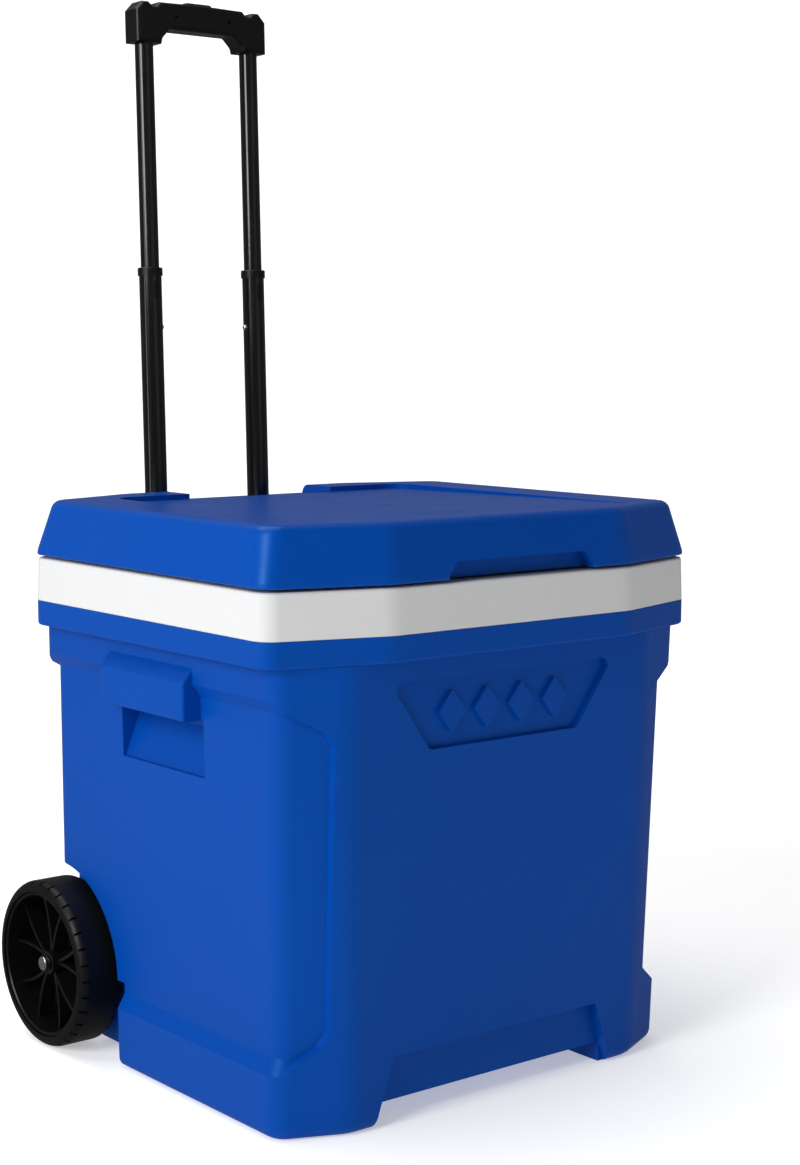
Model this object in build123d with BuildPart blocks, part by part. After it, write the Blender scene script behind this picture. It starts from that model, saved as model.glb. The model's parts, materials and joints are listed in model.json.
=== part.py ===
from build123d import *
import os
from math import cos, radians, sin, tan

os.makedirs("parts", exist_ok=True)

# Wheeled cooler. Millimetres, +Z up, front at -Y, floor at z = 0.
# Depths are measured from the front of the collar; at() turns them into Y.
overall_depth = 505.48
front_y = -overall_depth / 2

# Collar band, which also sets the lid and the rim below it
collar_half = 247.0
collar_depth = 437.0
collar_nose = 137.0
collar_cut = 33.0
rim_bottom = 405.0
collar_bottom = 428.3
collar_top = 468.5

# Body below the rim
belt_half = 235.0
foot_half = 226.5
belt_front = 12.0
foot_front = 20.0
belt_rear = 426.0
foot_rear = 430.0
recess_depth = 8.0
recess_low = 57.0
recess_low_top = 70.0
recess_high = 367.0
recess_high_top = 378.0
skin = 3.5

# Inside of the liner
cavity_half = 190.0
cavity_half_floor = 176.0
cavity_front = 40.0
cavity_front_floor = 48.0
cavity_rear = 385.0
cavity_rear_floor = 350.0
cavity_floor = 48.0
liner_wall = 3.0

# Lid
lid_bottom = 471.0
lid_top = 522.0
lid_top_half = 236.0
lid_top_front = 10.5
lid_top_rear = 427.0
tray_half = 175.0
scoop_half = 86.0
scoop_start = 372.0
scoop_low = 492.0
hinge_depth = 432.0
hinge_z = 470.0
hinge_x = 112.0

# Wheels and axle
wheel_r = 79.4
wheel_depth = 393.5
wheel_face = 252.0
wheel_width = 47.0
rim_r = 69.0
rim_opening_r = 65.5
axle_r = 5.0
running = 0.05
arch_depth = 398.0
arch_r = 94.0
arch_wall = 195.0
underside_high = 100.0
plate_floor = 18.6

# Handle, measured along its leaning axis
lean = 1.953
handle_depth = 458.2
tube_x = 63.0
sleeve_r = 16.0
sleeve_bore = 11.4
lower_r = 11.3
lower_bore = 9.25
upper_r = 9.2
upper_bore = 7.7
sleeve_low = 106.0
sleeve_high = 455.0
lower_low = 400.0
lower_high = 739.0
upper_low = 679.0
upper_high = 974.0
grip_low = 964.0
grip_top = 1006.0
grip_half = 78.0


def at(depth):
    return front_y + depth


handle_plane = Plane(
    origin=(0, at(handle_depth), 0),
    x_dir=(1, 0, 0),
    z_dir=(0, sin(radians(lean)), cos(radians(lean))),
)


def save(shape, name):
    shape.label = name
    export_step(shape, "parts/" + name + ".step")


# Eight-sided plan with rounded corners, as seen from above
def plan(z, half, front, rear, nose, cut, side_r=20.0, nose_r=50.0, rear_cut=None):
    back = cut if rear_cut is None else rear_cut
    with BuildSketch(Plane.XY.offset(z)) as face:
        with BuildLine():
            Polyline(
                (-nose, at(front)),
                (nose, at(front)),
                (half, at(front + cut)),
                (half, at(rear - back)),
                (nose, at(rear)),
                (-nose, at(rear)),
                (-half, at(rear - back)),
                (-half, at(front + cut)),
                close=True,
            )
        make_face()
        sides = [v for v in face.vertices() if abs(v.X) > half - 0.1]
        fillet(sides, side_r)
        noses = [v for v in face.vertices() if abs(abs(v.X) - nose) < 0.1]
        fillet(noses, nose_r)
    return face.sketch


def collar_plan(z, inset, side_r=20.0):
    return plan(
        z,
        collar_half - inset,
        inset,
        collar_depth - inset,
        collar_nose,
        collar_cut,
        side_r,
    )


def body_plan(z, inset):
    share = z / rim_bottom
    half = foot_half + (belt_half - foot_half) * share - inset
    front = foot_front + (belt_front - foot_front) * share + inset * 0.8
    rear = foot_rear + (belt_rear - foot_rear) * share - inset * 0.8
    return plan(z, half, front, rear, 165 + 7 * share, 28 - 4 * share, 22.0, 45.0, 14 + 6 * share)


# Rounded rectangle in plan, for the cavity and what fits it
def cavity_plan(z, half, front, rear, corner=42.0):
    with BuildSketch(Plane.XY.offset(z)) as face:
        with Locations((0, at((front + rear) / 2))):
            RectangleRounded(2 * half, rear - front, corner)
    return face.sketch


def lofted(low, high):
    with BuildPart() as piece:
        add(low)
        add(high)
        loft()
    return piece.part


def box_between(x0, x1, d0, d1, z0, z1):
    with BuildPart() as piece:
        with Locations(((x0 + x1) / 2, at((d0 + d1) / 2), (z0 + z1) / 2)):
            Box(x1 - x0, d1 - d0, z1 - z0)
    return piece.part


# Prism across X from points given as (depth, z)
def across(points, x0, x1):
    with BuildPart() as piece:
        with BuildSketch(Plane.YZ.offset(x0)):
            with BuildLine():
                Polyline(*[(at(d), z) for d, z in points], close=True)
            make_face()
        extrude(amount=x1 - x0)
    return piece.part


# Prism through the depth from points given as (x, z)
def through(points, d0, d1, corner=0.0):
    with BuildPart() as piece:
        with BuildSketch(Plane.XZ.offset(-at(d0))) as face:
            with BuildLine():
                Polyline(*points, close=True)
            make_face()
            if corner:
                fillet(face.vertices(), corner)
        extrude(amount=-(d1 - d0))
    return piece.part


def wheel_arch(side, extra):
    x_in = arch_wall - extra
    with BuildPart() as piece:
        with BuildSketch(Plane.YZ.offset(side * x_in)):
            with Locations((at(arch_depth), wheel_r)):
                Circle(arch_r + extra)
            with Locations((at(arch_depth + 8), wheel_r / 2 - 10)):
                Rectangle(2 * (arch_r + extra) + 40, wheel_r + 20)
        extrude(amount=side * 90)
    return piece.part


# Finger pocket under a side handle, deepest at its top
def finger_pocket(side, extra):
    points = [
        (side * 240, 292 - extra),
        (side * (222 - extra), 296 - extra),
        (side * (207 - extra), 335),
        (side * (207 - extra), 346 + extra),
        (side * 240, 346 + extra),
    ]
    return through(points, 150 - extra, 282 + extra)


# ---- Outer shell ----
with BuildPart() as outer_block:
    add(body_plan(0, 0))
    add(body_plan(rim_bottom, 0))
    loft()
    fillet(outer_block.faces().sort_by(Axis.Z)[0].edges(), 11)

with BuildPart() as inset_block:
    add(lofted(body_plan(0, 0), body_plan(recess_low, 0)))
    add(lofted(body_plan(recess_low, 0), body_plan(recess_low_top, recess_depth)))
    add(lofted(body_plan(recess_low_top, recess_depth), body_plan(recess_high, recess_depth)))
    add(lofted(body_plan(recess_high, recess_depth), body_plan(recess_high_top, 0)))
    add(lofted(body_plan(recess_high_top, 0), body_plan(rim_bottom, 0)))


def side_recess(side):
    points = [
        (side * 275, recess_high_top),
        (side * 234, recess_high_top),
        (side * 224, 367),
        (side * 191, 350),
        (side * 184, 338),
        (side * 184, 92),
        (side * 191, 80),
        (side * 222, 58),
        (side * 232, recess_low - 1),
        (side * 275, recess_low - 1),
    ]
    with BuildPart() as cutter:
        add(through(points, -10, 470))
        add(inset_block.part, mode=Mode.SUBTRACT)
    return cutter.part


# Foam space inside the skin
space_low = plan(24, 213, 34, 414, 150, 28, 24, 45)
space_high = plan(collar_bottom, 221, 25, 414, 158, 24, 24, 45)
with BuildPart() as foam_space:
    add(lofted(space_low, space_high))
    for side in (-1, 1):
        add(wheel_arch(side, skin), mode=Mode.SUBTRACT)
        add(finger_pocket(side, skin), mode=Mode.SUBTRACT)
    add(box_between(-210, 210, 374 - skin, 500, -5, underside_high + skin), mode=Mode.SUBTRACT)



# Brow of a side handle, with its outer edges rounded
def brow(side):
    points = [
        (side * 215, 346),
        (side * 245, 346),
        (side * 245, 380),
        (side * 234, 393),
        (side * 215, 393),
    ]
    with BuildPart() as piece:
        add(through(points, 154, 289))
        edges = [e for e in piece.edges() if abs(e.center().X) > 230]
        fillet(edges, 3)
    return piece.part


with BuildPart() as rim_band:
    add(lofted(collar_plan(rim_bottom, 0), collar_plan(collar_bottom, 0)))
    fillet(rim_band.faces().sort_by(Axis.Z)[0].edges(), 3)

with BuildPart() as outer_shell:
    add(outer_block.part)
    for side in (-1, 1):
        add(side_recess(side), mode=Mode.SUBTRACT)
    # Rim band under the collar
    add(rim_band.part)
    # Side handles: a brow with a finger pocket below it
    for side in (-1, 1):
        add(brow(side))
        add(finger_pocket(side, 0), mode=Mode.SUBTRACT)
    # Nameplate recess, base recess and the raised middle of the base
    plate = [(-130, 386), (130, 386), (86, 325), (-86, 325)]
    add(through(plate, 0, plate_floor, 7), mode=Mode.SUBTRACT)
    base_low = [(-120, 61), (120, 61), (140, 0), (-140, 0)]
    add(through(base_low, 0, 29), mode=Mode.SUBTRACT)
    add(box_between(-134, 134, 0, 470, -5, 19), mode=Mode.SUBTRACT)
    # Runners lift slightly towards the wheels
    add(across([(55, -5), (55, 0), (470, 5), (470, -5)], -260, 260), mode=Mode.SUBTRACT)
    # Wheel arches and the open space round the axle
    for side in (-1, 1):
        add(wheel_arch(side, 0), mode=Mode.SUBTRACT)
    add(box_between(-196, 196, 374, 500, -5, underside_high), mode=Mode.SUBTRACT)
    add(foam_space.part, mode=Mode.SUBTRACT)
save(outer_shell.part, "outer_shell")

# Raised pattern of four diamonds in the nameplate recess
with BuildPart() as badge:
    with BuildSketch(Plane.XZ.offset(-at(plate_floor))):
        with GridLocations(40, 1, 4, 1):
            with Locations((0, 355.5)):
                Polygon((-15, 0), (0, -19), (15, 0), (0, 19))
    extrude(amount=4)
    fillet(badge.edges().filter_by(Axis.Y), 2)
save(badge.part, "badge_motif")

# ---- Liner, collar and body foam ----
with BuildPart() as cavity_block:
    low = cavity_plan(cavity_floor, cavity_half_floor, cavity_front_floor, cavity_rear_floor)
    high = cavity_plan(collar_top + 1, cavity_half, cavity_front, cavity_rear)
    add(lofted(low, high))
    fillet(cavity_block.faces().sort_by(Axis.Z)[0].edges(), 14)

with BuildPart() as basin_block:
    w = liner_wall
    low = cavity_plan(
        cavity_floor - w, cavity_half_floor + w, cavity_front_floor - w, cavity_rear_floor + w, 45
    )
    high = cavity_plan(collar_top - 2, cavity_half + w, cavity_front - w, cavity_rear + w, 45)
    add(lofted(low, high))
    fillet(basin_block.faces().sort_by(Axis.Z)[0].edges(), 16)

with BuildPart() as collar_hollow:
    add(lofted(collar_plan(collar_bottom, 5), collar_plan(collar_top - 5, 5.5)))
    for side in (-1, 1):
        x = side * hinge_x
        add(box_between(x - 25, x + 25, 420, 440, 456, 480), mode=Mode.SUBTRACT)
    add(basin_block.part, mode=Mode.SUBTRACT)

with BuildPart() as liner:
    add(lofted(collar_plan(collar_bottom, 0), collar_plan(collar_top, 1)))
    fillet(liner.faces().sort_by(Axis.Z)[-1].edges(), 2.5)
    fillet(liner.faces().sort_by(Axis.Z)[0].edges(), 1)
    add(collar_hollow.part, mode=Mode.SUBTRACT)
    add(basin_block.part)
    add(cavity_block.part, mode=Mode.SUBTRACT)
    for side in (-1, 1):
        x = side * hinge_x
        add(box_between(x - 21.5, x + 21.5, 424.5, 440, 462.5, 480), mode=Mode.SUBTRACT)
save(liner.part, "liner")

with BuildPart() as body_foam:
    add(foam_space.part)
    add(collar_hollow.part)
    add(basin_block.part, mode=Mode.SUBTRACT)
save(body_foam.part, "body_foam")

# ---- Lid ----
crown = plan(lid_top, lid_top_half, lid_top_front, lid_top_rear, collar_nose - 3, 32, 24, 50, 35)
with BuildPart() as lid_block:
    add(lofted(collar_plan(lid_bottom, 0), collar_plan(lid_bottom + 5, 0.5)))
    add(lofted(collar_plan(lid_bottom + 5, 0.5), crown))
    fillet(lid_block.faces().sort_by(Axis.Z)[-1].edges(), 10)
    fillet(lid_block.faces().sort_by(Axis.Z)[0].edges(), 1.5)

# Shallow tray in the top, deeper towards the rear
with BuildPart() as tray:
    with BuildSketch(Plane.XY.offset(lid_top - 12)):
        with Locations((0, at(204))):
            RectangleRounded(2 * tray_half, 352, 22)
    extrude(amount=20)
    floor_line = [(0, 500), (0, 522.5), (500, 515.4), (500, 500)]
    add(across(floor_line, -200, 200), mode=Mode.SUBTRACT)


def scoop(drop):
    points = [
        (scoop_start - drop, 540),
        (scoop_start - drop, 519.5 - drop),
        (scoop_start + 10 - drop, 517 - drop),
        (437 - drop, scoop_low - drop),
        (452, scoop_low - 7 - drop),
        (452, 540),
    ]
    return across(points, -scoop_half - drop, scoop_half + drop)


def lid_notch(extra):
    points = [
        (-80 - extra, 470),
        (-66 - extra, 486 + extra),
        (84 + extra, 486 + extra),
        (98 + extra, 470),
    ]
    return through(points, -5, 15 + extra, 3)


def lid_hinge_space(extra):
    with BuildPart() as piece:
        for side in (-1, 1):
            x = side * hinge_x
            add(box_between(x - 21.5 - extra, x + 21.5 + extra, 424.5 - extra, 440, 470, 479.5 + extra))
    return piece.part


with BuildPart() as lid_space:
    space_top = plan(511, 226, 21, 416, 130, 32, 24, 45, 36)
    add(lofted(collar_plan(lid_bottom, 5), space_top))
    add(scoop(skin + 1), mode=Mode.SUBTRACT)
    add(lid_notch(skin), mode=Mode.SUBTRACT)
    add(lid_hinge_space(skin), mode=Mode.SUBTRACT)

with BuildPart() as lid_shell:
    add(lid_block.part)
    add(tray.part, mode=Mode.SUBTRACT)
    add(scoop(0), mode=Mode.SUBTRACT)
    add(lid_notch(0), mode=Mode.SUBTRACT)
    add(lid_hinge_space(0), mode=Mode.SUBTRACT)
    rear_chamfer = [(430.5, 470), (440, 470), (440, 479.5)]
    add(across(rear_chamfer, -200, 200), mode=Mode.SUBTRACT)
    add(lid_space.part, mode=Mode.SUBTRACT)
save(lid_shell.part, "lid_shell")

plug_low = 457.0
with BuildPart() as plug_hollow:
    add(lofted(cavity_plan(plug_low + 3, 184, 46, 379, 37), cavity_plan(476, 184, 46, 379, 37)))

with BuildPart() as lid_liner:
    add(lofted(collar_plan(lid_bottom, 7), collar_plan(lid_bottom + 3, 7)))
    add(lid_notch(skin), mode=Mode.SUBTRACT)
    add(lid_hinge_space(skin), mode=Mode.SUBTRACT)
    add(lofted(cavity_plan(plug_low, 187, 43, 382, 40), cavity_plan(lid_bottom + 1, 187, 43, 382, 40)))
    add(plug_hollow.part, mode=Mode.SUBTRACT)
save(lid_liner.part, "lid_liner")

with BuildPart() as lid_foam:
    add(lid_space.part)
    add(plug_hollow.part)
    add(box_between(-260, 260, -10, 460, 440, lid_bottom + 3), mode=Mode.SUBTRACT)
save(lid_foam.part, "lid_foam")

with BuildPart() as lid_gasket:
    add(lofted(cavity_plan(468.9, 204, 26, 399, 54), cavity_plan(lid_bottom, 204, 26, 399, 54)))
    inner = lofted(cavity_plan(460, 196, 34, 391, 46), cavity_plan(480, 196, 34, 391, 46))
    add(inner, mode=Mode.SUBTRACT)
save(lid_gasket.part, "lid_gasket")


# ---- Hinges ----
def rod(x0, x1, depth, z, radius):
    with BuildPart() as piece:
        with BuildSketch(Plane.YZ.offset(x0)):
            with Locations((at(depth), z)):
                Circle(radius)
        extrude(amount=x1 - x0)
    return piece.part


knuckle_r = 6.0
pin_r = 2.5


def hinge_bracket(side):
    x = side * hinge_x
    with BuildPart() as piece:
        add(box_between(x - 20, x + 20, 437, 440, 440, 462))
        for start in (x - 19, x + 8):
            add(rod(start, start + 11, hinge_depth, hinge_z, knuckle_r))
            add(box_between(start, start + 11, 433, 437.5, 461.8, hinge_z))
            add(box_between(start, start + 11, 433, 440, 458, 462))
        add(box_between(x - 25, x + 25, 424, 437, 440, 462.6), mode=Mode.SUBTRACT)
        add(rod(x - 30, x + 30, hinge_depth, hinge_z, pin_r + running), mode=Mode.SUBTRACT)
        add(depth_rod(x - 12, 450, 436, 441, 2), mode=Mode.SUBTRACT)
        add(depth_rod(x + 12, 450, 436, 441, 2), mode=Mode.SUBTRACT)
    return piece.part


def depth_rod(x, z, d0, d1, radius):
    with BuildPart() as piece:
        with BuildSketch(Plane.XZ.offset(-at(d0))):
            with Locations((x, z)):
                Circle(radius)
        extrude(amount=-(d1 - d0))
    return piece.part


def lid_leaf(side):
    x = side * hinge_x
    with BuildPart() as piece:
        add(box_between(x - 20, x + 20, 425, 436, 476.6, 479.5))
        add(rod(x - 7.5, x + 7.5, hinge_depth, hinge_z, knuckle_r))
        add(box_between(x - 7.5, x + 7.5, 427, 436, hinge_z + 1, 477))
        add(rod(x - 30, x + 30, hinge_depth, hinge_z, pin_r + running), mode=Mode.SUBTRACT)
    return piece.part


def hinge_pin(side):
    x = side * hinge_x
    with BuildPart() as piece:
        add(rod(x - 19.2, x + 19.2, hinge_depth, hinge_z, pin_r))
        add(rod(x + 19.2, x + 20.7, hinge_depth, hinge_z, 4))
    return piece.part


for side, word in ((-1, "left"), (1, "right")):
    save(hinge_bracket(side), "hinge_bracket_" + word)
    save(lid_leaf(side), "lid_leaf_" + word)
    save(hinge_pin(side), "hinge_pin_" + word)

with BuildPart() as hinge_screws:
    for x in (-hinge_x - 12, -hinge_x + 12, hinge_x - 12, hinge_x + 12):
        add(depth_rod(x, 450, 437.2, 440.1, 1.9))
        add(depth_rod(x, 450, 440, 442.2, 3.8))
save(hinge_screws.part, "hinge_screws")


# ---- Wheels and axle ----
def tyre(side):
    inner = wheel_face - wheel_width
    with BuildPart() as piece:
        add(rod(side * inner, side * wheel_face, wheel_depth, wheel_r, wheel_r))
        rims = piece.edges().filter_by(GeomType.CIRCLE)
        fillet(rims, 8)
        add(rod(side * (inner - 5), side * (wheel_face + 5), wheel_depth, wheel_r, rim_r), mode=Mode.SUBTRACT)
        # Sipes across both shoulders
        for x in (inner + 4, wheel_face - 4):
            centre = Plane(origin=(side * x, at(wheel_depth), wheel_r), z_dir=(1, 0, 0))
            with Locations(centre):
                with PolarLocations(wheel_r, 32):
                    Box(7, 2.2, 9, mode=Mode.SUBTRACT)
    return piece.part


def polar(radius, degrees):
    return (radius * cos(radians(degrees)), radius * sin(radians(degrees)))


def rim(side):
    hub = Plane(origin=(0, at(wheel_depth), wheel_r), x_dir=(0, 1, 0), z_dir=(1, 0, 0))
    with BuildPart() as piece:
        with BuildSketch(hub.offset(side * 207)):
            Circle(rim_r)
        extrude(amount=side * (wheel_face - 1.5 - 207))
        with BuildSketch(hub.offset(side * 213)):
            Circle(rim_opening_r)
        extrude(amount=side * 45, mode=Mode.SUBTRACT)
        mouth = [e for e in piece.edges().filter_by(GeomType.CIRCLE) if abs(e.center().X) > wheel_face - 2]
        chamfer(mouth, 1)
        with BuildSketch(hub.offset(side * 213)):
            Circle(11)
        extrude(amount=side * 30)
        # Ten curved spokes in five pairs
        with BuildSketch(hub.offset(side * 224)):
            for pair in range(5):
                for bend in (-1, 1):
                    middle = 132 + 72 * pair
                    with BuildLine():
                        ThreePointArc(
                            polar(9, middle + bend * 32),
                            polar(33, middle + bend * 26),
                            polar(rim_r - 2, middle + bend * 17),
                        )
                    trace(line_width=3)
        extrude(amount=side * 15)
        with BuildSketch(hub.offset(side * 200)):
            Circle(axle_r + running)
        extrude(amount=side * 50, mode=Mode.SUBTRACT)
    return piece.part


for side, word in ((-1, "left"), (1, "right")):
    save(tyre(side), "tyre_" + word)
    save(rim(side), "rim_" + word)

save(rod(-247, 247, wheel_depth, wheel_r, axle_r), "axle")

with BuildPart() as axle_washers:
    for side in (-1, 1):
        add(rod(side * 200, side * 204, wheel_depth, wheel_r, 12))
        add(rod(side * 195, side * 207, wheel_depth, wheel_r, axle_r), mode=Mode.SUBTRACT)
save(axle_washers.part, "axle_washers")

with BuildPart() as axle_caps:
    for side in (-1, 1):
        add(rod(side * 243.5, side * 249.5, wheel_depth, wheel_r, 7))
    fillet(axle_caps.edges().filter_by(GeomType.CIRCLE), 1.5)
    add(rod(-247, 247, wheel_depth, wheel_r, axle_r), mode=Mode.SUBTRACT)
save(axle_caps.part, "axle_caps")


def axle_bracket(side):
    x = side * 150
    with BuildPart() as piece:
        add(box_between(x - 12, x + 12, wheel_depth - 12, wheel_depth + 12, 70, underside_high))
        fillet(piece.edges().filter_by(Axis.X).group_by(Axis.Z)[0], 8)
        add(box_between(x - 26, x + 26, wheel_depth - 12, wheel_depth + 12, 95, underside_high))
        add(rod(x - 20, x + 20, wheel_depth, wheel_r, axle_r), mode=Mode.SUBTRACT)
        with Locations((x - 19, at(wheel_depth), 97), (x + 19, at(wheel_depth), 97)):
            Cylinder(2, 12, mode=Mode.SUBTRACT)
    return piece.part


for side, word in ((-1, "left"), (1, "right")):
    save(axle_bracket(side), "axle_bracket_" + word)

with BuildPart() as axle_screws:
    spots = [(x, at(wheel_depth)) for x in (-169, -131, 131, 169)]
    with BuildSketch(Plane.XY.offset(95)):
        with Locations(*spots):
            Circle(1.9)
    extrude(amount=4.8)
    with BuildSketch(Plane.XY.offset(92.6)):
        with Locations(*spots):
            Circle(4)
    extrude(amount=2.4)
save(axle_screws.part, "axle_screws")


# ---- Telescopic handle ----
def tube(side, low, high, outer, bore=0.0):
    with BuildPart() as piece:
        with BuildSketch(handle_plane.offset(low)):
            with Locations((side * tube_x, 0)):
                Circle(outer)
                if bore:
                    Circle(bore, mode=Mode.SUBTRACT)
        extrude(amount=high - low)
    return piece.part


# Block in the handle's leaning frame
def handle_block(x0, x1, v0, v1, low, high):
    with BuildPart() as piece:
        with BuildSketch(handle_plane.offset(low)):
            with Locations(((x0 + x1) / 2, (v0 + v1) / 2)):
                Rectangle(abs(x1 - x0), abs(v1 - v0))
        extrude(amount=high - low)
    return piece.part


detent_w = 684.0
groove_low = 398.0


# Slot on the inboard side that the detent ball runs in
def ball_groove(side, high):
    inboard = side * tube_x - side * 8
    end = side * tube_x - side * 14.4
    return handle_block(min(inboard, end), max(inboard, end), -3.6, 3.6, groove_low, high)


def sleeve(side):
    with BuildPart() as piece:
        add(tube(side, sleeve_low, sleeve_high, sleeve_r, sleeve_bore))
        add(ball_groove(side, sleeve_high + 1), mode=Mode.SUBTRACT)
    return piece.part


def sleeve_collar(side):
    with BuildPart() as piece:
        add(tube(side, sleeve_high - 8, 461, sleeve_r + 3))
        add(tube(side, sleeve_high - 9, sleeve_high, sleeve_r), mode=Mode.SUBTRACT)
        add(tube(side, sleeve_high - 1, 462, sleeve_bore), mode=Mode.SUBTRACT)
        add(ball_groove(side, 463), mode=Mode.SUBTRACT)
    return piece.part


# Short pin with a domed end, pointing inboard
def detent_pin(side, radius, start, dome):
    out = Plane(
        origin=handle_plane.from_local_coords((side * (tube_x - start), 0, detent_w)),
        z_dir=(-side, 0, 0),
    )
    with BuildPart() as piece:
        with BuildSketch(out):
            Circle(radius)
        extrude(amount=13.8 - start)
        if dome:
            fillet(piece.edges().filter_by(GeomType.CIRCLE).sort_by(Axis.X)[-1 if side < 0 else 0], dome)
    return piece.part


def lower_tube(side):
    with BuildPart() as piece:
        add(tube(side, lower_low, lower_high, lower_r, lower_bore))
        add(handle_block(side * tube_x - 3, side * tube_x + 3, -13, -5, 712, 729), mode=Mode.SUBTRACT)
        add(detent_pin(side, 3.05, 8, 0), mode=Mode.SUBTRACT)
    return piece.part


def tube_clip(side):
    with BuildPart() as piece:
        add(tube(side, 712.1, 728.9, lower_r + 0.05, lower_bore + 0.05))
        keep = handle_block(side * tube_x - 2.9, side * tube_x + 2.9, -13, -5, 712.1, 728.9)
        add(keep, mode=Mode.INTERSECT)
    return piece.part


def tube_bushing(side):
    with BuildPart() as piece:
        add(tube(side, lower_high - 4, lower_high + 4, lower_r + 1.2))
        add(tube(side, lower_high - 5, lower_high, lower_r), mode=Mode.SUBTRACT)
        add(tube(side, lower_high - 5, lower_high + 5, lower_bore), mode=Mode.SUBTRACT)
        top = piece.edges().filter_by(GeomType.CIRCLE).sort_by(Axis.Z)[-2:]
        chamfer([e for e in top if e.radius > lower_r], 0.8)
    return piece.part


for side, word in ((-1, "left"), (1, "right")):
    save(sleeve(side), "sleeve_" + word)
    save(sleeve_collar(side), "sleeve_collar_" + word)
    save(tube(side, sleeve_low - 4, sleeve_low, sleeve_r), "sleeve_cap_" + word)
    save(lower_tube(side), "lower_tube_" + word)
    save(tube_clip(side), "tube_clip_" + word)
    save(tube_bushing(side), "tube_bushing_" + word)
    save(detent_pin(side, 3, 9.6, 2.4), "detent_ball_" + word)
    save(tube(side, upper_low, upper_high, upper_r, upper_bore), "upper_tube_" + word)

# Housing that holds the sleeves to the rear wall
with BuildPart() as handle_housing:
    side_view = [(429.4, 103.5), (426.5, 400), (474, 400), (464, 103.5)]
    add(across(side_view, -84, 84))
    fillet(handle_housing.edges().filter_by(Axis.Z, tolerance=3).group_by(Axis.Y)[-1], 8)
    add(box_between(-40, 40, 438, 500, 90, 410), mode=Mode.SUBTRACT)
    for side in (-1, 1):
        add(tube(side, 60, 470, sleeve_r), mode=Mode.SUBTRACT)
    for x in (-22, 22):
        for z in (150, 350):
            add(depth_rod(x, z, 420, 450, 2), mode=Mode.SUBTRACT)
save(handle_housing.part, "handle_housing")

with BuildPart() as housing_screws:
    for x in (-22, 22):
        for z in (150, 350):
            add(depth_rod(x, z, 431, 438.1, 1.9))
            add(depth_rod(x, z, 438, 440.6, 4.2))
save(housing_screws.part, "housing_screws")

# Cross-piece that ties the sleeves to the collar
with BuildPart() as handle_yoke:
    add(box_between(-84, 84, 437.4, 478, 430, 445))
    fillet(handle_yoke.edges().filter_by(Axis.Z).group_by(Axis.Y)[-1], 10)
    for side in (-1, 1):
        add(tube(side, 400, 470, sleeve_r), mode=Mode.SUBTRACT)
save(handle_yoke.part, "handle_yoke")

# ---- Grip ----
with BuildPart() as grip_block:
    with BuildSketch(handle_plane * Plane.XZ.offset(-13)) as grip_face:
        half = [
            (0, 979),
            (38, 979),
            (47, 970),
            (48.5, grip_low),
            (grip_half, grip_low),
            (grip_half, 996),
            (70, 1004.5),
            (63, 1004.5),
            (58, 1000.5),
            (54, 1000.5),
            (50, 1005),
            (0, grip_top),
        ]
        with BuildLine():
            Polyline(*half)
            mirror(about=Plane.YZ)
        make_face()
        arch = [v for v in grip_face.vertices() if abs(abs(v.X) - 38) < 0.6 or abs(abs(v.X) - 47) < 0.6]
        fillet(arch, 5)
    extrude(amount=26)
    faces = grip_block.faces().sort_by(Axis.Y)
    fillet(faces[0].edges() + faces[-1].edges(), 4.5)

# Cut for the release button, its spring and the upper tubes
with BuildPart() as grip_cuts:
    add(handle_block(-16.4, 16.4, -7.4, 7.4, 992, 1010))
    with BuildSketch(handle_plane.offset(982)):
        Circle(5.2)
    extrude(amount=12)
    for side in (-1, 1):
        add(tube(side, grip_low - 2, upper_high, upper_r))
    for x in (-32, 32):
        with BuildSketch(handle_plane * Plane.XZ.offset(-20)):
            with Locations((x, 992)):
                Circle(1.6)
        extrude(amount=40)
    for x in (-32, 32):
        with BuildSketch(handle_plane * Plane.XZ.offset(-20)):
            with Locations((x, 992)):
                Circle(3.2)
        extrude(amount=9.5)

with BuildPart() as grip_front:
    add(grip_block.part)
    add(grip_cuts.part, mode=Mode.SUBTRACT)
    add(handle_block(-90, 90, 0, 30, 950, 1020), mode=Mode.SUBTRACT)
save(grip_front.part, "grip_front")

with BuildPart() as grip_rear:
    add(grip_block.part)
    add(grip_cuts.part, mode=Mode.SUBTRACT)
    add(handle_block(-90, 90, -30, 0, 950, 1020), mode=Mode.SUBTRACT)
save(grip_rear.part, "grip_rear")

with BuildPart() as grip_screws:
    for x in (-32, 32):
        with BuildSketch(handle_plane * Plane.XZ.offset(-10.6)):
            with Locations((x, 992)):
                Circle(3)
        extrude(amount=-2)
        with BuildSketch(handle_plane * Plane.XZ.offset(-10.5)):
            with Locations((x, 992)):
                Circle(1.5)
        extrude(amount=14)
save(grip_screws.part, "grip_screws")

with BuildPart() as release_button:
    add(handle_block(-16, 16, -7, 7, 996, 1008.2))
    fillet(release_button.edges().filter_by(Axis.Z, tolerance=5), 4)
    fillet(release_button.faces().sort_by(Axis.Z)[-1].edges(), 2)
save(release_button.part, "release_button")

with BuildPart() as button_spring:
    with BuildLine(handle_plane.offset(983)) as coil:
        Helix(pitch=3, height=12, radius=3.6)
    with BuildSketch(Plane(origin=coil.line @ 0, z_dir=coil.line % 0)):
        Circle(0.5)
    sweep(is_frenet=True)
save(button_spring.part, "button_spring")
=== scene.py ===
import bmesh
import bpy
import json
import numpy as np
from math import cos, radians, sin
from mathutils import Matrix, Vector


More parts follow.
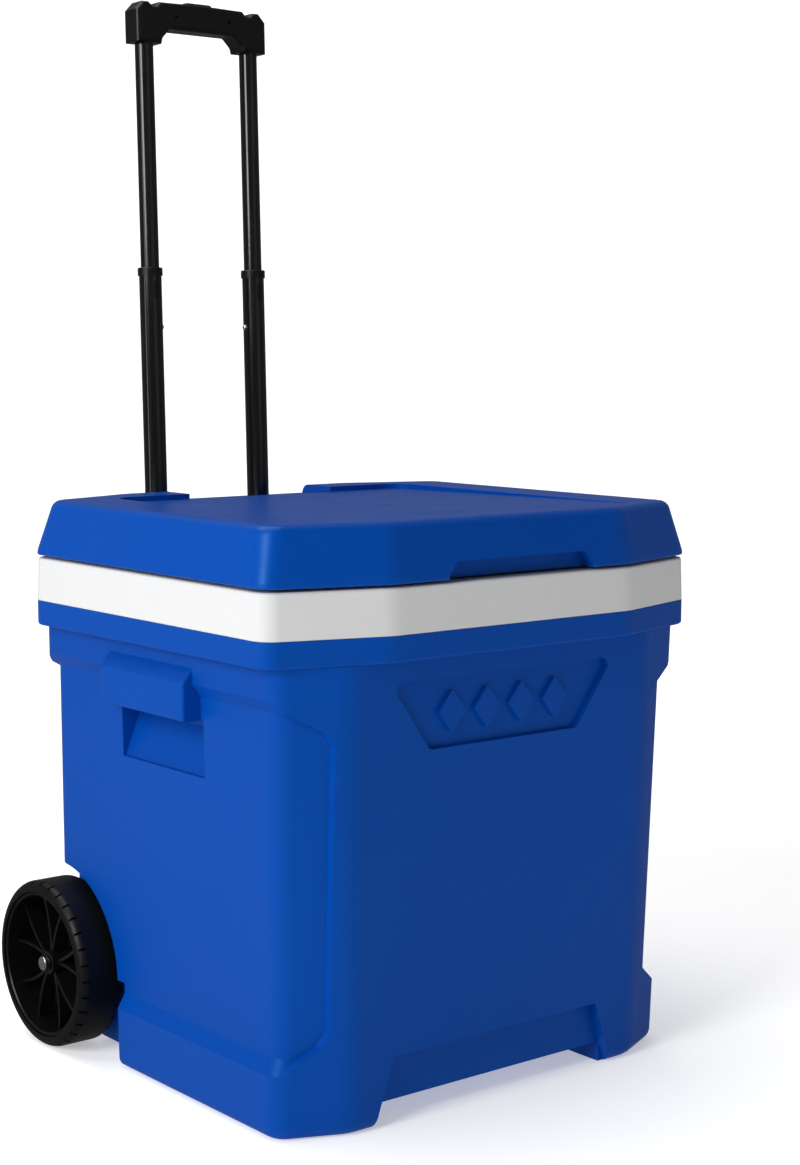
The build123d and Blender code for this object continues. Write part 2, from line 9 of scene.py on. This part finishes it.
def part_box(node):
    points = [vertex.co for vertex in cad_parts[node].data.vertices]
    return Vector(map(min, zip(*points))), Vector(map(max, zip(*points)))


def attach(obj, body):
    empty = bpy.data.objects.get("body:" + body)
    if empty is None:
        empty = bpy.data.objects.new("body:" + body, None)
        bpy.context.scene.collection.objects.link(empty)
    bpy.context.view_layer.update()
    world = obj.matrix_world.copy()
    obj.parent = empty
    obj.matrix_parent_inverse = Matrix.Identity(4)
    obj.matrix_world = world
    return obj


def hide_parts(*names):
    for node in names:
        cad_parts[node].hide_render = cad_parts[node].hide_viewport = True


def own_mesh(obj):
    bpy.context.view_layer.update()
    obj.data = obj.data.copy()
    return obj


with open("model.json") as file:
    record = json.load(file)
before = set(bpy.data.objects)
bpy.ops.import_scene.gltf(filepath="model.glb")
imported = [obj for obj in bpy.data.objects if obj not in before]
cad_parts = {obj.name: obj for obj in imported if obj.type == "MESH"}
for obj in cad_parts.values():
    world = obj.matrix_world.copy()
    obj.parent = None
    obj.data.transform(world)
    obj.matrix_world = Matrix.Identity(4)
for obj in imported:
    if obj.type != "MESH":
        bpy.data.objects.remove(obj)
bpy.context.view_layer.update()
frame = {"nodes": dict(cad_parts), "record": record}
print("frame loaded,", len(frame["nodes"]), "nodes")


# Node helpers: each adds one node to a finish and wires it up

def plainFinish(name, look, metallic=0.0):
    finish = bpy.data.materials.new(name)
    finish.use_nodes = True
    shader = finish.node_tree.nodes["Principled BSDF"]
    shader.inputs["Base Color"].default_value = (*look["colour"], 1)
    shader.inputs["Roughness"].default_value = look["roughness"]
    shader.inputs["Specular IOR Level"].default_value = look["shine"]
    shader.inputs["Specular Tint"].default_value = (*look.get("shineTint", (1, 1, 1)), 1)
    shader.inputs["Metallic"].default_value = metallic
    return finish, shader


def objectNoise(finish, scale, detail=4.0, stretch=(1, 1, 1)):
    nodes, links = finish.node_tree.nodes, finish.node_tree.links
    coords = nodes.new("ShaderNodeTexCoord")
    mapping = nodes.new("ShaderNodeMapping")
    mapping.inputs["Scale"].default_value = stretch
    noise = nodes.new("ShaderNodeTexNoise")
    noise.inputs["Scale"].default_value = scale
    noise.inputs["Detail"].default_value = detail
    links.new(coords.outputs["Object"], mapping.inputs["Vector"])
    links.new(mapping.outputs["Vector"], noise.inputs["Vector"])
    return noise.outputs["Fac"]


def cells(finish, size):
    nodes, links = finish.node_tree.nodes, finish.node_tree.links
    coords = nodes.new("ShaderNodeTexCoord")
    voronoi = nodes.new("ShaderNodeTexVoronoi")
    voronoi.feature = "SMOOTH_F1"
    voronoi.inputs["Scale"].default_value = 1 / size  # cells per metre
    voronoi.inputs["Smoothness"].default_value = 0.6
    links.new(coords.outputs["Object"], voronoi.inputs["Vector"])
    return voronoi.outputs["Distance"]


def spread(finish, value, low, high, lowIn=0.3, highIn=0.7):
    node = finish.node_tree.nodes.new("ShaderNodeMapRange")
    finish.node_tree.links.new(value, node.inputs["Value"])
    node.inputs["From Min"].default_value = lowIn
    node.inputs["From Max"].default_value = highIn
    node.inputs["To Min"].default_value = low
    node.inputs["To Max"].default_value = high
    return node.outputs["Result"]


def product(finish, first, second):
    node = finish.node_tree.nodes.new("ShaderNodeMath")
    node.operation = "MULTIPLY"
    finish.node_tree.links.new(first, node.inputs[0])
    finish.node_tree.links.new(second, node.inputs[1])
    return node.outputs["Value"]


def heightAbove(finish, low, high):
    nodes, links = finish.node_tree.nodes, finish.node_tree.links
    coords = nodes.new("ShaderNodeTexCoord")
    split = nodes.new("ShaderNodeSeparateXYZ")
    links.new(coords.outputs["Object"], split.inputs["Vector"])
    return spread(finish, split.outputs["Z"], 1, 0, low, high)


def blendColour(finish, value, first, second):
    mix = finish.node_tree.nodes.new("ShaderNodeMix")
    mix.data_type = "RGBA"
    for name, colour in (("A", first), ("B", second)):
        if isinstance(colour, tuple):
            mix.inputs[name].default_value = (*colour, 1)
        else:
            finish.node_tree.links.new(colour, mix.inputs[name])
    finish.node_tree.links.new(value, mix.inputs["Factor"])
    return mix.outputs["Result"]


def bump(finish, shader, height, strength, depth, under=None):
    node = finish.node_tree.nodes.new("ShaderNodeBump")
    node.inputs["Strength"].default_value = strength
    node.inputs["Distance"].default_value = depth
    finish.node_tree.links.new(height, node.inputs["Height"])
    if under is not None:
        finish.node_tree.links.new(under, node.inputs["Normal"])
    finish.node_tree.links.new(node.outputs["Normal"], shader.inputs["Normal"])
    return node.outputs["Normal"]


# Moulded plastic: pebble grain of cells with a finer noise on them, slow flow marks
# in the colour, handling marks in the sheen, and pale scuffs where it meets the floor
def mouldedPlastic(name, look):
    finish, shader = plainFinish(name, look)
    wire = finish.node_tree.links.new
    dark = tuple(c * (1 - look["flow"]) for c in look["colour"])
    light = tuple(min(1.0, c * (1 + look["flow"])) for c in look["colour"])
    colour = blendColour(finish, spread(finish, objectNoise(finish, 4.0, 1.0), 0, 1, 0.1, 0.9), dark, light)
    if look.get("scuff"):
        low = heightAbove(finish, 0.004, look["scuffTop"])
        marks = spread(finish, objectNoise(finish, 120.0, 6.0, (1, 1, 3)), 0, look["scuff"], 0.55, 0.7)
        pale = tuple(0.6 * c + 0.12 for c in look["colour"])
        colour = blendColour(finish, product(finish, low, marks), colour, pale)
    wire(colour, shader.inputs["Base Color"])
    rough, wear = look["roughness"], look["wear"]
    sheen = spread(finish, objectNoise(finish, 30.0, 3.0), rough - wear, rough + wear, 0.1, 0.9)
    wire(sheen, shader.inputs["Roughness"])
    pebbles = bump(finish, shader, cells(finish, look["grain"]), 0.3, look["grainDepth"])
    bump(finish, shader, objectNoise(finish, 3 / look["grain"], 2.0), 0.3, look["grainDepth"] * 0.4, pebbles)
    return finish


# Lengths are in metres. Roughness less wear stays above 0.28, because below that the sheen
# marks show as dark spots in a short render
blueShellLook = {"colour": (0.0, 0.057, 0.35), "roughness": 0.34, "shine": 0.28,
                 "shineTint": (0.25, 0.6, 1.0), "wear": 0.05, "grain": 0.0013,
                 "grainDepth": 0.00006, "flow": 0.035, "scuff": 0.2, "scuffTop": 0.012}
collarLook = {"colour": (0.655, 0.658, 0.662), "roughness": 0.34, "shine": 0.3, "wear": 0.05,
              "grain": 0.0022, "grainDepth": 0.00004, "flow": 0.012}
blackPlasticLook = {"colour": (0.0035, 0.0035, 0.004), "roughness": 0.36, "shine": 0.28, "wear": 0.07,
                    "grain": 0.0011, "grainDepth": 0.00008, "flow": 0.1}
tyreLook = {"colour": (0.0035, 0.0035, 0.004), "roughness": 0.42, "shine": 0.24, "wear": 0.08,
            "grain": 0.0014, "grainDepth": 0.0001, "flow": 0.15, "scuff": 0.25, "scuffTop": 0.012}
foamLook = {"colour": (0.80, 0.74, 0.52), "roughness": 0.9, "shine": 0.1, "wear": 0.05,
            "grain": 0.0035, "grainDepth": 0.0006, "flow": 0.06}
gasketLook = {"colour": (0.018, 0.018, 0.019), "roughness": 0.68, "shine": 0.3, "wear": 0.08,
              "grain": 0.0009, "grainDepth": 0.00006, "flow": 0.1}

blueShell = mouldedPlastic("blueShell", blueShellLook)
whiteCollar = mouldedPlastic("whiteCollar", collarLook)
blackPlastic = mouldedPlastic("blackPlastic", blackPlasticLook)
tyrePlastic = mouldedPlastic("tyrePlastic", tyreLook)
foamCore = mouldedPlastic("foamCore", foamLook)
gasketRubber = mouldedPlastic("gasketRubber", gasketLook)


# Gloss paint on a drawn tube: long faint rub lines from sliding, and a slight orange peel
def glossPaint(name, look):
    finish, shader = plainFinish(name, look)
    rubs = objectNoise(finish, 240.0, 4.0, (1, 1, 0.02))
    wire = finish.node_tree.links.new
    rough = look["roughness"]
    wire(spread(finish, rubs, rough, rough + look["rub"], 0.5, 0.75), shader.inputs["Roughness"])
    tone = spread(finish, rubs, 0, 1, 0.45, 0.8)
    wire(blendColour(finish, tone, look["colour"], look["worn"]), shader.inputs["Base Color"])
    bump(finish, shader, objectNoise(finish, 420.0, 2.0), 0.15, look["peel"])
    return finish


tubePaintLook = {"colour": (0.003, 0.003, 0.0035), "worn": (0.012, 0.012, 0.013), "roughness": 0.13,
                 "rub": 0.12, "shine": 0.42, "peel": 0.00004}
tubePaint = glossPaint("tubePaint", tubePaintLook)


# Plated steel: fine turning lines drawn out along one axis
def platedSteel(name, look):
    finish, shader = plainFinish(name, look, 1.0)
    lines = objectNoise(finish, look["lines"], 3.0, look["along"])
    wire = finish.node_tree.links.new
    rough = look["roughness"]
    wire(spread(finish, lines, rough - 0.06, rough + 0.12), shader.inputs["Roughness"])
    tone = spread(finish, objectNoise(finish, 90.0), 0, 1)
    wire(blendColour(finish, tone, look["colour"], look["dull"]), shader.inputs["Base Color"])
    bump(finish, shader, lines, 0.2, look["lineDepth"])
    return finish


steelLook = {"colour": (0.62, 0.63, 0.65), "dull": (0.5, 0.51, 0.53), "roughness": 0.25,
             "shine": 0.5, "lines": 60.0, "lineDepth": 0.00005, "along": (1, 1, 8)}
zincSteel = platedSteel("zincSteel", steelLook)

finishBySlot = {
    "blue_shell": blueShell,
    "white_liner": whiteCollar,
    "foam": foamCore,
    "gasket": gasketRubber,
    "black_plastic": blackPlastic,
    "black_tube": tubePaint,
    "tyre": tyrePlastic,
    "steel": zincSteel,
}
for part in frame["record"]["subparts"]:
    piece = frame["nodes"][part["node"]]
    piece.data.materials.clear()
    piece.data.materials.append(finishBySlot[part["material_slot"]])
print("finishes on")

# Wire is a radius, room is left at each end, and travel is the button's stroke, all in metres
springLook = {"turns": 4.5, "wire": 0.00048, "room": 0.0003, "closeEnds": 0.4,
              "lean": (0, 0.03408, 0.99942), "travel": 0.003, "perTurn": 32, "sides": 12}


# Coil spring under the release button: a round wire carried along a helix about the leaning handle line;
# line(t) = foot + lean * rise(t) + coil * (cos t, sin t), where rise slows at both ends to close the end
# turns, and wire(t, a) = line(t) + wire * (cos a * outward + sin a * across)
def coilSpring(look):
    low, high = (np.array(corner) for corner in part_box("button_spring"))
    lean = np.array(look["lean"])
    sideways = np.array([1.0, 0, 0])
    back = np.cross(lean, sideways)
    coil = (high[0] - low[0]) / 2 - look["wire"]
    height = high[2] - low[2] - 2 * (look["wire"] + look["room"])
    foot = (low + high) / 2 - lean * height / 2
    share = np.linspace(0, 1, int(look["turns"] * look["perTurn"]) + 1)
    turn = share * look["turns"] * 2 * np.pi
    rise = height * (share - look["closeEnds"] * np.sin(2 * np.pi * share) / (2 * np.pi))
    outward = np.cos(turn)[:, None] * sideways + np.sin(turn)[:, None] * back
    line = foot + rise[:, None] * lean + coil * outward
    across = np.cross(np.gradient(line, axis=0), outward)
    across /= np.linalg.norm(across, axis=1)[:, None]
    around = np.linspace(0, 2 * np.pi, look["sides"], endpoint=False)
    ring = np.cos(around)[:, None] * outward[:, None, :] + np.sin(around)[:, None] * across[:, None, :]
    points = line[:, None, :] + look["wire"] * ring
    rows, cols = points.shape[:2]
    index = np.arange(rows * cols).reshape(rows, cols)
    beside = np.roll(index, -1, axis=1)
    quads = np.stack([index[:-1], beside[:-1], beside[1:], index[1:]], -1).reshape(-1, 4).tolist()
    mesh = bpy.data.meshes.new("releaseSpring")
    ends = [index[0][::-1].tolist(), index[-1].tolist()]
    mesh.from_pydata(points.reshape(-1, 3).tolist(), [], quads + ends)
    mesh.polygons.foreach_set("use_smooth", np.ones(len(mesh.polygons), dtype=bool))
    tidy = bmesh.new()
    tidy.from_mesh(mesh)
    bmesh.ops.recalc_face_normals(tidy, faces=tidy.faces)
    tidy.to_mesh(mesh)
    tidy.free()
    spring = bpy.data.objects.new("releaseSpring", mesh)
    bpy.context.scene.collection.objects.link(spring)
    mesh.materials.append(zincSteel)
    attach(spring, "upper_stage")
    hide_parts("button_spring")
    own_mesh(spring)


coilSpring(springLook)
print("spring made")

backdropLook = {"halfWidth": 10.0, "front": -9.0, "back": 4.0, "turnRadius": 2.0, "top": 8.0,
                "turned": -39.0, "paper": (0.9, 0.9, 0.9), "glow": 0.4}


# Studio sweep: one profile, flat then a quarter turn up into a wall, run straight across;
# point = across * width + away * run(t) + up * rise(t)
def backdrop(look):
    turn = np.linspace(0, np.pi / 2, 30)
    front, back, bend = look["front"], look["back"], look["turnRadius"]
    run = np.concatenate([np.linspace(front, back, 30), back + bend * np.sin(turn[1:]), [back + bend]])
    rise = np.concatenate([np.zeros(30), bend * (1 - np.cos(turn[1:])), [look["top"]]])
    angle = radians(look["turned"])
    across = np.array([cos(angle), sin(angle), 0])
    away = np.array([-sin(angle), cos(angle), 0])
    widths = np.linspace(-look["halfWidth"], look["halfWidth"], 9)
    skyward = np.array([0, 0, 1.0])
    grid = widths[:, None, None] * across + run[:, None] * away + rise[:, None] * skyward
    rows, cols = grid.shape[:2]
    index = np.arange(rows * cols).reshape(rows, cols)
    quads = np.stack([index[:-1, :-1], index[1:, :-1], index[1:, 1:], index[:-1, 1:]], -1)
    quads = quads.reshape(-1, 4)
    mesh = bpy.data.meshes.new("backdrop")
    mesh.from_pydata(grid.reshape(-1, 3).tolist(), [], quads.tolist())
    mesh.polygons.foreach_set("use_smooth", np.ones(len(quads), dtype=bool))
    sweep = bpy.data.objects.new("backdrop", mesh)
    bpy.context.scene.collection.objects.link(sweep)
    paper, shader = plainFinish("backdropPaper", {"colour": look["paper"], "roughness": 0.85, "shine": 0.1})
    shader.inputs["Emission Color"].default_value = (1, 1, 1, 1)
    shader.inputs["Emission Strength"].default_value = look["glow"]
    bump(paper, shader, objectNoise(paper, 200.0), 0.05, 0.0002)
    mesh.materials.append(paper)
    sweep.visible_glossy = False  # keeps the dark finishes deep, they mirror only the lamps


backdrop(backdropLook)

# Places and sizes in metres, power in watts
lights = {
    "keyLight": {"place": (-3.2, -0.7, 1.9), "aim": (0, 0, 0.3), "size": (1.3, 1.9), "power": 82},
    "topLight": {"place": (-0.6, 0.8, 3.4), "aim": (0, 0, 0.4), "size": (2.6, 2.6), "power": 58},
    "frontFill": {"place": (0.6, -3.6, 1.5), "aim": (0, 0, 0.4), "size": (2.5, 2.0), "power": 4},
    "cornerStrip": {"place": (-3.0, 0.45, 0.95), "aim": (-0.2, -0.2, 0.5), "size": (0.3, 1.5), "power": 7},
    "wallLight": {"place": (1.1, 1.6, 2.8), "aim": (3.4, 4.4, 1.2), "size": (3.0, 1.2), "power": 60},
}
for name, light in lights.items():
    data = bpy.data.lights.new(name, "AREA")
    data.shape = "RECTANGLE"
    data.size, data.size_y = light["size"]
    data.energy = light["power"]
    lamp = bpy.data.objects.new(name, data)
    lamp.location = light["place"]
    lamp.rotation_euler = (Vector(light["aim"]) - Vector(light["place"])).to_track_quat("-Z", "Y").to_euler()
    bpy.context.scene.collection.objects.link(lamp)

# The room gives little light of its own, but is white where it is seen past the sweep
worldLook = {"light": 0.15, "seen": 1.0}
world = bpy.data.worlds.new("studio")
world.use_nodes = True
ambient = world.node_tree.nodes["Background"]
ambient.inputs["Color"].default_value = (1, 1, 1, 1)
rays = world.node_tree.nodes.new("ShaderNodeLightPath")
strength = world.node_tree.nodes.new("ShaderNodeMapRange")
strength.inputs["To Min"].default_value = worldLook["light"]
strength.inputs["To Max"].default_value = worldLook["seen"]
world.node_tree.links.new(rays.outputs["Is Camera Ray"], strength.inputs["Value"])
world.node_tree.links.new(strength.outputs["Result"], ambient.inputs["Strength"])
bpy.context.scene.world = world
bpy.context.scene.view_settings.view_transform = "Standard"

# Camera at eye level, turned to the left front corner, angles in degrees
view = {"place": (-1.24225, -1.62121, 0.674), "yaw": 39.086, "down": 6.51, "roll": 0.205, "lens": 66.386}
yaw, pitch, roll = radians(view["yaw"]), radians(view["down"]), radians(view["roll"])
forward = Vector((sin(yaw) * cos(pitch), cos(yaw) * cos(pitch), -sin(pitch)))
level = forward.cross(Vector((0, 0, 1))).normalized()
upright = level.cross(forward)
right = level * cos(roll) + upright * sin(roll)
up = upright * cos(roll) - level * sin(roll)
camera = bpy.data.cameras.new("camera")
camera.sensor_width = 36
camera.lens = view["lens"]
cameraObject = bpy.data.objects.new("camera", camera)
turned = Matrix((right, up, -forward)).transposed().to_4x4()
cameraObject.matrix_world = Matrix.Translation(view["place"]) @ turned
bpy.context.scene.collection.objects.link(cameraObject)
bpy.context.scene.camera = cameraObject
print("stage, lights and camera set")
